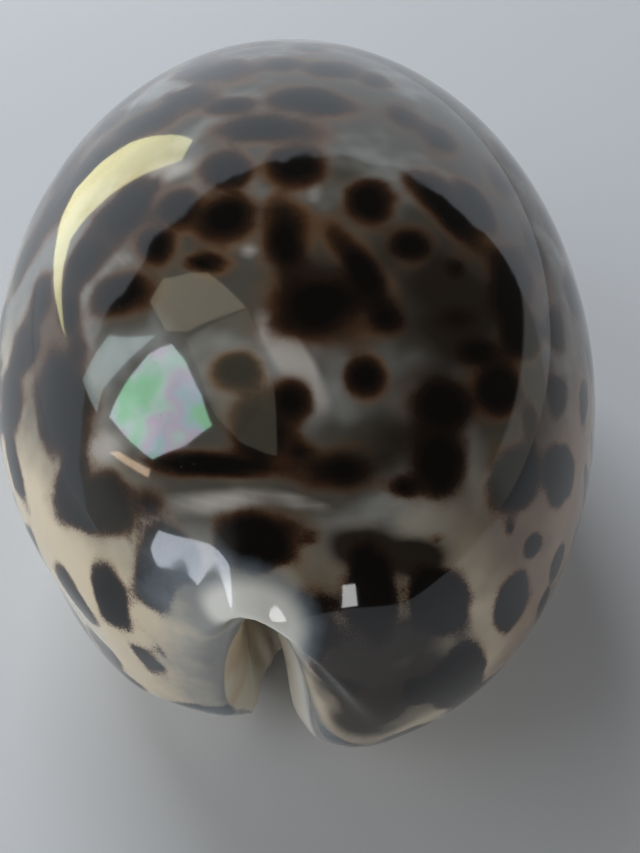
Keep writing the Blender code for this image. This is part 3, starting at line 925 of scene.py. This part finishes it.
def hills(spots, reach):
    """For each spot, the points near it, how far out they lie in half lengths, and its strength."""
    for place, normal, a, b, strength in spots:
        axes = np.linalg.inv(np.array([a[:], b[:], normal[:]]).T)
        near = np.linalg.norm(VERTS - place, axis=1) < (reach + WAVE_ROOM) * max(a.length, b.length)
        near &= NORMALS @ np.array(normal) > NEARLY_FACING
        local = (VERTS[near] - place) @ axes.T
        yield near, np.hypot(local[:, 0], local[:, 1]) + WAVE[near] * WAVE_DEPTH, strength


def spot_values(spots):
    highest = np.zeros(len(VERTS))
    total = np.zeros(len(VERTS))
    for near, out, dark in hills(spots, HILL_FOOT):
        hill = np.clip(HILL_FOOT - out, 0, HILL_FOOT) / HILL_FOOT * dark
        highest[near] = np.maximum(highest[near], hill)
        total[near] += hill ** 3
    return np.maximum(highest, np.cbrt(total) * RUN_TOGETHER)


def cloud_values(clouds):
    """Soft clouds that add up, dark ones and, with a minus, pale ones."""
    total = np.zeros(len(VERTS))
    for near, out, dark in hills(clouds, CLOUD_REACH):
        total[near] += dark * np.exp(-CLOUD_FALL * np.maximum(out, 0) ** 2)
    return total


WAVE = wave_at(VERTS)
UPPER_SIDE = 1 - BASE_ZONE
SPOTS = spot_values(SEEN + UNSEEN) * UPPER_SIDE
store("spots", np.clip(SPOTS, 0, 1))
store("smoke and painted light", cloud_values(laid_on_shell(CLOUDS_IN_VIEW)) * UPPER_SIDE)
# painted shade: this value darkens the outer lip's side, away from the window, to a warm beige
store("shaded side", rising(VERTS[:, 0], -4 * MM, 26 * MM))
print("share of the surface under spots:", round(float((SPOTS > 0.5).mean()), 3))

# %% [markdown]
# The enamel
#
# One material covers the whole shell, because there is only one piece. Its colour is built up as the animal
# built it: a clear grey ground that turns to cream at the margin, faint clouds deep in the enamel, then the
# dark spots with their thin brown halo, then white callus laid over everything round the notches and on the
# base. Helper functions keep the nodes readable: each makes one node and returns its output. They make it
# among the enamel's nodes, unless the nodes of another material are given.

# %% Node helpers
ENAMEL = bpy.data.materials.new("Cowrie enamel")
ENAMEL.use_nodes = True
NODES = ENAMEL.node_tree.nodes
SHADER = NODES["Principled BSDF"]


def feed(socket, value):
    """Links an output to a socket, or sets a plain number or colour on it."""
    if isinstance(value, bpy.types.NodeSocket):
        socket.id_data.links.new(value, socket)
    else:
        socket.default_value = value


def attribute(name):
    node = NODES.new("ShaderNodeAttribute")
    node.attribute_name = name
    return node.outputs["Fac"]


def maths(operation, first, second=0.0, third=0.0, nodes=NODES):
    node = nodes.new("ShaderNodeMath")
    node.operation = operation
    for socket, value in zip(node.inputs, (first, second, third)):
        feed(socket, value)
    return node.outputs[0]


def mix(share, first, second, nodes=NODES):
    node = nodes.new("ShaderNodeMix")
    node.data_type = "RGBA"
    feed(node.inputs[0], share)
    feed(node.inputs[6], first)
    feed(node.inputs[7], second)
    return node.outputs[2]


def spread(value, low, high, nodes=NODES):
    """0 below low, 1 above high, and a soft rise between."""
    node = nodes.new("ShaderNodeMapRange")
    node.interpolation_type = "SMOOTHSTEP"
    feed(node.inputs["Value"], value)
    feed(node.inputs["From Min"], low)
    feed(node.inputs["From Max"], high)
    return node.outputs["Result"]


def grain(size, detail=2.0, roughness=0.5, nodes=NODES):
    """Noise from 0 to 1 whose patches are about size across, in metres."""
    place = nodes.new("ShaderNodeTexCoord")
    node = nodes.new("ShaderNodeTexNoise")
    feed(node.inputs["Vector"], place.outputs["Object"])
    feed(node.inputs["Scale"], 1.0 / size)
    feed(node.inputs["Detail"], detail)
    feed(node.inputs["Roughness"], roughness)
    return node.outputs["Fac"]


def around_zero(value, reach):
    """A value from 0 to 1 turned into one from -reach to reach."""
    return maths("MULTIPLY_ADD", value, 2 * reach, -reach)


def colour(red, green, blue):
    """A colour given as it looks on a screen, from 0 to 255."""
    return tuple((part / 255) ** 2.2 for part in (red, green, blue)) + (1.0,)


print("node helpers ready")

# %% [markdown]
# Ground colour
#
# Between the spots the enamel is milky. On the back it is a clear grey, because the light goes deep into it
# and meets older spots, and in places it is smoked brown; low on the right lobe that brown is painted shade.
# Pale clouds lighten it, and in a band above the notch that is a painted reflection. Towards the margin it
# turns to cream, and on the outer lip's side, away from the window, the cream is darkened to a warm beige:
# painted shade with warm room light. One ramp could hold these colours, but they follow different things,
# height, side and cloud, so they are mixed one after the other.

# %% Ground
DEEP = colour(90, 87, 80)
MILKY = colour(150, 152, 150)
# brown smoke in the enamel, and painted shade low on the right lobe
SMOKE_AND_SHADE = colour(50, 43, 35)
# clear pale enamel, and in a band above the notch a painted reflection
PEARL_AND_REFLECTION = colour(202, 198, 192)
CREAM = colour(248, 232, 202)
# painted shade and warm room light for the side away from the window, not a colour of the enamel
SHADED_BEIGE = colour(168, 142, 120)


def ground_colour():
    # painted shade: on the outer lip's side, away from the window, the cream goes to a darker warm beige
    to_shaded_side = maths("ADD", attribute("shaded side"), around_zero(grain(6 * MM), 0.3))
    side = mix(spread(to_shaded_side, 0.2, 0.8), CREAM, SHADED_BEIGE)
    back = mix(spread(grain(11 * MM, 3.0), 0.46, 0.62), DEEP, MILKY)
    edge = maths("ADD", attribute("margin"), around_zero(grain(8 * MM, 3.0), 0.35))
    clear = mix(spread(edge, 0.10, 0.75), back, side)
    clouds = maths("ADD", attribute("smoke and painted light"), around_zero(grain(6 * MM, 3.0), 0.12))
    # pale clouds: clear enamel, and in a band above the notch a painted reflection
    lightened = mix(spread(maths("MULTIPLY", clouds, -1.0), 0.05, 0.5), clear, PEARL_AND_REFLECTION)
    # dark clouds: brown smoke, and low on the right lobe painted shade
    return mix(spread(clouds, 0.02, 0.75), lightened, SMOKE_AND_SHADE)


GROUND = ground_colour()
print("ground made")

# %% [markdown]
# Spots and their halos
#
# The stored hills are first roughened with a fine noise, because close up the edge of a spot is a scatter of
# tiny brown specks. Then the height is turned into colour step by step: brown halo, rusty fringe, dark brown
# and near black. The back's spots lie deep and look soft, so there the slope is read more gently. Halo and
# fringe fade out where the clouds are dark, smoke and painted shade alike, because there a spot has no pale
# ground to stand against.

# %% Spots
HALO = colour(122, 92, 66)
RUST = colour(80, 55, 37)
DARK_BROWN = colour(44, 31, 23)
NEAR_BLACK = colour(15, 12, 10)
EDGE_HEIGHT = 0.44  # the height of a hill at its visible edge


def spotted(ground):
    reach = maths("MULTIPLY_ADD", attribute("margin"), 0.15, 0.02)
    speck = maths("MULTIPLY", around_zero(grain(0.14 * MM, 3.0, 0.7), 1.0), reach)
    drift = around_zero(grain(1.5 * MM, 3.0), 0.08)
    above = maths("ADD", maths("SUBTRACT", attribute("spots"), EDGE_HEIGHT), maths("ADD", speck, drift))
    height = maths("MULTIPLY", above, maths("MULTIPLY_ADD", attribute("margin"), 0.85, 0.40))
    patchy = maths("MULTIPLY_ADD", spread(grain(6 * MM, 2.0), 0.38, 0.62), 0.5, 0.25)
    clear = maths("SUBTRACT", 1.0, spread(attribute("smoke and painted light"), 0.25, 0.65))
    halo_share = maths("MULTIPLY", spread(height, -0.17, -0.02), maths("MULTIPLY", patchy, clear))
    halo = mix(halo_share, ground, HALO)
    fringe = mix(maths("MULTIPLY", spread(height, -0.09, 0.02), clear), halo, RUST)
    brown = mix(spread(height, -0.04, 0.06), fringe, DARK_BROWN)
    return mix(spread(height, 0.02, 0.13), brown, NEAR_BLACK)


MARKED = spotted(GROUND)
print("spots made")

# %% [markdown]
# Callus, base and canal
#
# Round the notches the animal lays thick white enamel over its own spots, and the base and teeth are white
# to cream as well. The callus lets the dark below shine through, so its own colour is a bluish grey that
# looks white only in the light of a window. Inside the canal and the hollow there is no such polish: the
# wall is a dull cream that looks olive brown, because so little light gets in.

# %% Pale parts
CALLUS_BLUE = colour(124, 136, 147)
RIM_WHITE = colour(246, 247, 242)
BASE_WHITE = colour(240, 231, 214)
CANAL_CREAM = colour(230, 224, 206)
CANAL_BEIGE = colour(216, 196, 166)
VEIL = 0.8  # how much of the spots the callus hides


def with_pale_parts(marked):
    callus = spread(maths("ADD", attribute("callus"), around_zero(grain(2.4 * MM, 4.0), 0.25)), 0.25, 0.95)
    veiled = mix(maths("MULTIPLY", callus, VEIL), marked, CALLUS_BLUE)
    rim = mix(attribute("rim"), veiled, RIM_WHITE)
    base = mix(attribute("base"), rim, BASE_WHITE)
    wall = mix(spread(grain(7 * MM), 0.4, 0.62), CANAL_CREAM, CANAL_BEIGE)
    return mix(attribute("canal"), base, wall)


feed(SHADER.inputs["Base Color"], with_pale_parts(MARKED))
print("pale parts made")

# %% [markdown]
# Gloss
#
# The enamel is polished like glass, with a few dust specks on it, and light sinks a little way in under the
# polish. What is the same everywhere is a plain value on the shader. Besides the colour, only the roughness
# and a slight ripple differ from place to place, so those two are linked.

# %% Gloss and surface
POLISH = 0.05
WORN_EXTRA = 0.05
CANAL_ROUGHNESS = 0.45
ENAMEL_IOR = 1.6
SCATTER_SHARE = 0.10
SCATTER_BY_COLOUR = (1.0, 0.75, 0.55)
SCATTER_DEPTH = 1.2 * MM
RIPPLE_STRENGTH = 0.2
RIPPLE_DEPTH = 0.1 * MM


def finish_surface():
    feed(SHADER.inputs["Metallic"], 0.0)
    feed(SHADER.inputs["IOR"], ENAMEL_IOR)
    feed(SHADER.inputs["Subsurface Weight"], SCATTER_SHARE)
    feed(SHADER.inputs["Subsurface Radius"], SCATTER_BY_COLOUR)
    feed(SHADER.inputs["Subsurface Scale"], SCATTER_DEPTH)
    worn = maths("MULTIPLY", spread(grain(4 * MM, 4.0), 0.55, 0.75), WORN_EXTRA)
    dull = maths("MULTIPLY", attribute("canal"), CANAL_ROUGHNESS - POLISH)
    feed(SHADER.inputs["Roughness"], maths("ADD", maths("ADD", worn, POLISH), dull))
    dust = spread(grain(0.25 * MM, 1.0), 0.80, 0.86)
    bump = NODES.new("ShaderNodeBump")
    feed(bump.inputs["Strength"], RIPPLE_STRENGTH)
    feed(bump.inputs["Distance"], RIPPLE_DEPTH)
    feed(bump.inputs["Height"], maths("ADD", grain(5 * MM, 1.0), dust))
    feed(SHADER.inputs["Normal"], bump.outputs["Normal"])


finish_surface()
cowrie.data.materials.append(ENAMEL)
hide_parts("shell")
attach(cowrie, "root")
print("enamel finished")

# %% [markdown]
# Floor
#
# The shell lies on plain white paper. One plane is enough, a very little below the shell's base so that the
# two surfaces don't share a plane. It is a metre wide: the camera never sees its edge, and mirrored in the
# shell the edge stays low.

# %% Floor
FLOOR_SIZE = 1.0
FLOOR_DROP = 0.05 * MM
PAPER = colour(220, 224, 230)


def plain_material(name, shade, glow=0.0):
    material = bpy.data.materials.new(name)
    material.use_nodes = True
    shader = material.node_tree.nodes["Principled BSDF"]
    shader.inputs["Base Color"].default_value = shade
    shader.inputs["Roughness"].default_value = 0.9
    shader.inputs["Specular IOR Level"].default_value = 0.0
    shader.inputs["Emission Color"].default_value = shade
    shader.inputs["Emission Strength"].default_value = glow
    return material


def flat_piece(name, corners, material):
    data = bpy.data.meshes.new(name)
    data.from_pydata(corners, [], [range(len(corners))])
    piece = bpy.data.objects.new(name, data)
    bpy.context.scene.collection.objects.link(piece)
    data.materials.append(material)
    return piece


HALF_FLOOR = FLOOR_SIZE / 2
FLOOR_SIGNS = ((-1, -1), (1, -1), (1, 1), (-1, 1))
FLOOR_CORNERS = [(x * HALF_FLOOR, y * HALF_FLOOR, -FLOOR_DROP) for x, y in FLOOR_SIGNS]
flat_piece("Floor", FLOOR_CORNERS, plain_material("Paper", PAPER))
print("floor at, in mm:", -FLOOR_DROP / MM)

# %% [markdown]
# Windows
#
# A glossy dark shell shows its lights as much as its colours. A rectangular light could be pushed about by
# hand until its reflection sits right. It is surer the other way round: each pane is given by the pixels
# that its reflection covers. A ray from the eye goes through each of those pixels, is mirrored in the shell,
# and the pane's corner is set on the mirrored ray. The panes show only in the gloss, so that how bright they
# look and how much light falls on the shell can be set apart.

# %% Mirror a pixel in the shell
def smooth_hit(pixel):
    """The point behind a pixel and the mean normal of the corners of the face that it lies in."""
    place, _, face, _ = SHELL_TREE.ray_cast(EYE, ray_through(pixel))
    corners = cowrie.data.polygons[face].vertices
    return place, sum((cowrie.data.vertices[i].normal for i in corners), Vector()).normalized()


def mirrored_corner(pixel, distance):
    """Where the pane's corner stands for its reflection to be seen at a pixel."""
    place, normal = smooth_hit(pixel)
    ray = ray_through(pixel)
    return place + (ray - 2 * ray.dot(normal) * normal) * distance


def lit_pane(name, corners, material):
    """A glowing pane that nothing but the gloss sees."""
    pane = flat_piece(name, corners, material)
    pane.visible_camera = pane.visible_diffuse = pane.visible_shadow = False
    size = max((a - b).length for a in corners for b in corners)
    print(name, "is", round(size, 2), "m across, lowest at", round(min(c.z for c in corners), 3))


MIDDLE_PIXEL = (PHOTO_WIDTH / 2, PHOTO_HEIGHT / 2)
MIDDLE_MIRRORED = mirrored_corner(MIDDLE_PIXEL, 1.0)
print("what the picture's middle mirrors a metre away is at, in m:", [round(v, 2) for v in MIDDLE_MIRRORED])

# %% [markdown]
# Colour of the main pane
#
# In the thin polish the brightest reflection shimmers between green, white and pink. A thin film on the
# enamel could do that, but then every reflection would have it. So the pane itself carries the colours: a
# slow noise over the pane is read through a ramp.

# %% Drift of colour
DRIFT_SIZE = 0.17
DRIFT_COLOURS = (
    (0.36, (0.40, 1.00, 0.55, 1)), (0.44, (0.75, 1.00, 0.92, 1)), (0.50, (0.92, 0.68, 0.92, 1)),
    (0.56, (0.66, 0.86, 1.00, 1)), (0.64, (0.42, 1.00, 0.55, 1)),
)


def window_material(name, shade, glow):
    """A lit pane whose colour drifts between green, white and pink."""
    material = plain_material(name, shade, glow)
    nodes = material.node_tree.nodes
    ramp = nodes.new("ShaderNodeValToRGB")
    feed(ramp.inputs["Fac"], grain(DRIFT_SIZE, 3.0, nodes=nodes))
    stops = ramp.color_ramp.elements
    stops[0].position, stops[0].color = DRIFT_COLOURS[0]
    stops[1].position, stops[1].color = DRIFT_COLOURS[-1]
    for place, shade_there in DRIFT_COLOURS[1:-1]:
        stops.new(place).color = shade_there
    tinted = nodes.new("ShaderNodeMix")
    tinted.data_type, tinted.blend_type = "RGBA", "MULTIPLY"
    feed(tinted.inputs[0], 1.0)
    feed(tinted.inputs[6], shade)
    feed(tinted.inputs[7], ramp.outputs["Color"])
    feed(nodes["Principled BSDF"].inputs["Emission Color"], tinted.outputs[2])
    return material


print("colours in the drift:", len(DRIFT_COLOURS))

# %% [markdown]
# The panes
#
# The main window is mirrored on the left of the back, cut by a bar into two panes, with curtained glass above
# and to the right of it and a lit sill below. A far window wraps round the back's left shoulder as a thin
# crescent. Simple outlines are enough, because the shell's own curve bends them as a real reflection is bent.

# %% Window panes
PANE_DISTANCE = 0.55
PANES = (
    # name, colour, strength, outline of its reflection
    ("Main pane", colour(242, 252, 252), 5.8,
     ((108, 418), (155, 458), (185, 442), (212, 425), (203, 395), (185, 362), (172, 342), (150, 355),
      (128, 378))),
    ("Upper pane", colour(208, 234, 234), 2.4,
     ((84, 378), (98, 412), (104, 388), (142, 348), (158, 334), (128, 334), (108, 336), (94, 354))),
    ("Curtained pane", colour(200, 190, 164), 1.7,
     ((150, 300), (165, 277), (208, 272), (224, 284), (246, 306), (186, 332), (166, 330))),
    ("Lower curtain", colour(196, 190, 164), 0.4,
     ((186, 340), (248, 308), (264, 345), (273, 390), (274, 456), (240, 440), (218, 420), (200, 372))),
    ("Sill", colour(250, 214, 180), 5.5,
     ((110, 452), (118, 452), (152, 471), (150, 478), (128, 466))),
    ("Far window", colour(244, 240, 190), 3.6,
     ((192, 140), (168, 135), (132, 142), (102, 162), (76, 190), (62, 216), (55, 250), (53, 285), (56, 312),
      (66, 342), (62, 300), (63, 266), (71, 240), (87, 217), (110, 195), (135, 179), (160, 168), (182, 160))),
)
for name, tint, strength, outline in PANES:
    corners = [mirrored_corner(pixel, PANE_DISTANCE) for pixel in outline]
    make_material = window_material if name == "Main pane" else plain_material
    lit_pane(name, corners, make_material(name, tint, strength))

# %% [markdown]
# The touches
#
# On the lobe and the rim the shell bends so fast that near pixels mirror almost the same direction, and a
# pane made from pixels would fold over itself. So the two small highlights there are panes whose corners are
# given by directions, seen from the point of the shell that shows them.

# %% Touches of light
TOUCHES = (
    # name, colour, strength, pixel in its middle, distance, directions of its corners
    ("Lobe touch", colour(222, 228, 240), 6.5, (190, 562), 0.15,
     ((-59.5, 10), (-65.5, 10), (-66, 0), (-63.5, -9), (-61, -6), (-59.5, 2))),
    ("Rim touch", colour(250, 250, 250), 6.0, (276, 610), 0.50,
     ((-8, -2.5), (-13.8, -2.5), (-14, 8), (-8, 8))),
)


def from_shell(azimuth, elevation):
    """Direction from the shell: azimuth 0 is towards the viewer, -90 is to the left."""
    turn, rise = math.radians(azimuth), math.radians(elevation)
    return Vector((math.sin(turn) * math.cos(rise), -math.cos(turn) * math.cos(rise), math.sin(rise)))


for name, tint, strength, pixel, distance, ways in TOUCHES:
    corners = [smooth_hit(pixel)[0] + from_shell(*way) * distance for way in ways]
    lit_pane(name, corners, plain_material(name, tint, strength))

# %% [markdown]
# Soft lights
#
# The light itself comes from soft boxes round the shell: one behind, which makes the paper fade towards the
# viewer, two from the left, high and low, one in front, a weak one that reaches into the notch from the
# right, and a weaker warm one beside it. None of them is seen in the gloss.

# %% Soft lights
SOFT_LIGHTS = (
    # name, azimuth, elevation, distance, size, power, colour
    ("Behind", -172, 38, 1.00, 0.55, 5.4, (0.97, 0.99, 1.0)),
    ("High left", -102, 42, 0.60, 0.40, 0.60, (0.98, 0.99, 1.0)),
    ("Low left", -82, 12, 0.60, 0.40, 0.70, (1.0, 0.98, 0.94)),
    ("In front", -26, 20, 0.50, 0.30, 0.20, (1.0, 0.99, 0.98)),
    ("Into the notch", 30, 15, 0.50, 0.20, 0.12, (1.0, 0.98, 0.94)),
    ("Low right", 70, 22, 0.60, 0.40, 0.05, (1.0, 0.84, 0.68)),
)
LIT_POINT = Vector((-4, -20, 26)) * MM

for name, azimuth, elevation, distance, size, power, tint in SOFT_LIGHTS:
    lamp = bpy.data.lights.new(name, "AREA")
    lamp.size, lamp.energy, lamp.color = size, power, tint
    light = bpy.data.objects.new(name, lamp)
    bpy.context.scene.collection.objects.link(light)
    away = from_shell(azimuth, elevation)
    light.location = LIT_POINT + away * distance
    light.rotation_euler = away.to_track_quat("Z", "Y").to_euler()
    light.visible_glossy = False
print("soft lights:", len(SOFT_LIGHTS))

# %% [markdown]
# Room
#
# Behind the shell the room is bright up to about 40 degrees, and elsewhere it is dark above a pale line near
# the level, which fades softly upwards on the left and ends sharply on the right. In front it is dark down
# to the floor. That dark part is why the middle of the back looks deep and clear while its far edge carries
# a grey veil. A world shader gives all of it: it reads only the direction. The edge between bright and dark
# is made a little ragged, because no real room ends in one clean line.

# %% Nodes of the room
ROOM = bpy.data.worlds.new("Room")
ROOM.use_nodes = True
bpy.context.scene.world = ROOM
ROOM_NODES = ROOM.node_tree.nodes
DIRECTION = ROOM_NODES.new("ShaderNodeTexCoord").outputs["Generated"]
RAGGEDNESS = 0.12
RAGGED_SCALE = 5.0


def along(way):
    """How far the direction points along a way, from -1 to 1."""
    node = ROOM_NODES.new("ShaderNodeVectorMath")
    node.operation = "DOT_PRODUCT"
    feed(node.inputs[0], DIRECTION)
    feed(node.inputs[1], way)
    return node.outputs["Value"]


def ramped(value, low, high, first, second):
    """The first colour where the value is below low, the second above high."""
    return mix(spread(value, low, high, ROOM_NODES), first, second, ROOM_NODES)


def roughened(value):
    """The value with a little noise of the direction added."""
    node = ROOM_NODES.new("ShaderNodeTexNoise")
    feed(node.inputs["Vector"], DIRECTION)
    feed(node.inputs["Scale"], RAGGED_SCALE)
    feed(node.inputs["Detail"], 4.0)
    return maths("MULTIPLY_ADD", node.outputs["Fac"], RAGGEDNESS, value, nodes=ROOM_NODES)


print("room's nodes ready")

# %% Room light
BRIGHT_SIDE = (178, -40)
BRIGHT_EDGE = 0.13
ROOM_DARK = (0.055, 0.052, 0.048, 1)
ROOM_BRIGHT = (0.66, 0.71, 0.77, 1)
ROOM_LEVEL = (0.52, 0.52, 0.49, 1)


def make_room():
    height = along((0, 0, 1))
    sharp = ramped(height, 0.18, 0.22, ROOM_LEVEL, ROOM_DARK)
    soft = ramped(height, 0.02, 0.55, ROOM_LEVEL, ROOM_DARK)
    level = ramped(along((1, 0, 0)), -0.3, 0.3, soft, sharp)
    not_in_front = ramped(along((0, -1, 0)), 0.45, 0.70, level, ROOM_DARK)
    behind = roughened(along(from_shell(*BRIGHT_SIDE)))
    whole = ramped(behind, BRIGHT_EDGE, BRIGHT_EDGE + 0.02, not_in_front, ROOM_BRIGHT)
    feed(ROOM_NODES["Background"].inputs["Color"], whole)


make_room()
print("nodes in the room:", len(ROOM_NODES))

# %% [markdown]
# Backdrop
#
# All of the room is for the gloss and the light. What the camera itself sees behind the shell is a plain
# pale backdrop: a big sphere round everything, which no other ray meets.

# %% Backdrop
BACKDROP = colour(150, 151, 152)
BACKDROP_RADIUS = 3.0
BLACK = (0, 0, 0, 1)


def make_backdrop():
    """A plain pale sphere far outside, for the camera alone."""
    bpy.ops.mesh.primitive_uv_sphere_add(radius=BACKDROP_RADIUS)
    backdrop = bpy.context.object
    backdrop.name = "Backdrop"
    material = plain_material("Backdrop", BACKDROP, 1.0)
    feed(material.node_tree.nodes["Principled BSDF"].inputs["Base Color"], BLACK)
    backdrop.data.materials.append(material)
    for kind in ("visible_diffuse", "visible_glossy", "visible_transmission", "visible_shadow"):
        setattr(backdrop, kind, False)


make_backdrop()
bpy.context.scene.view_settings.view_transform = "Standard"
print("backdrop's radius in m:", BACKDROP_RADIUS)
